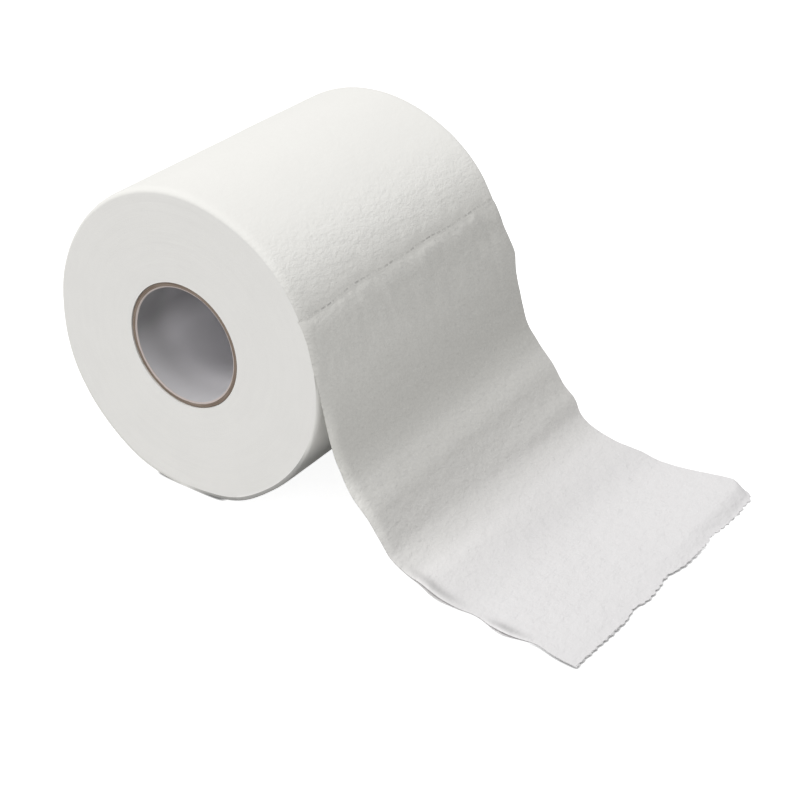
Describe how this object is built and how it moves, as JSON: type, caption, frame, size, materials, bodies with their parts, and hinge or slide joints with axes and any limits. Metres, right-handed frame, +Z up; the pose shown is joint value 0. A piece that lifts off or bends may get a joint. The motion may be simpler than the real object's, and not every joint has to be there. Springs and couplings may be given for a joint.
{
  "type": "toilet paper roll",
  "caption": "Wound roll of soft white tissue on a cardboard core, lying on its side with the last perforated sheet drawn out along the surface.",
  "frame": {"origin": "centre of the flat spot that the roll settles on, on the surface under the middle of the roll", "axes": "+Z up, Y along the roll's axis, +X the way the loose sheet runs out"},
  "size_m": [0.1905, 0.1042, 0.0975],
  "materials": {
    "tissue": "soft, matte, creped",
    "board": "matte"
  },
  "bodies": {
    "root": {"tissue_paper": "tissue", "cardboard_core": "board"}
  },
  "joints": []
}
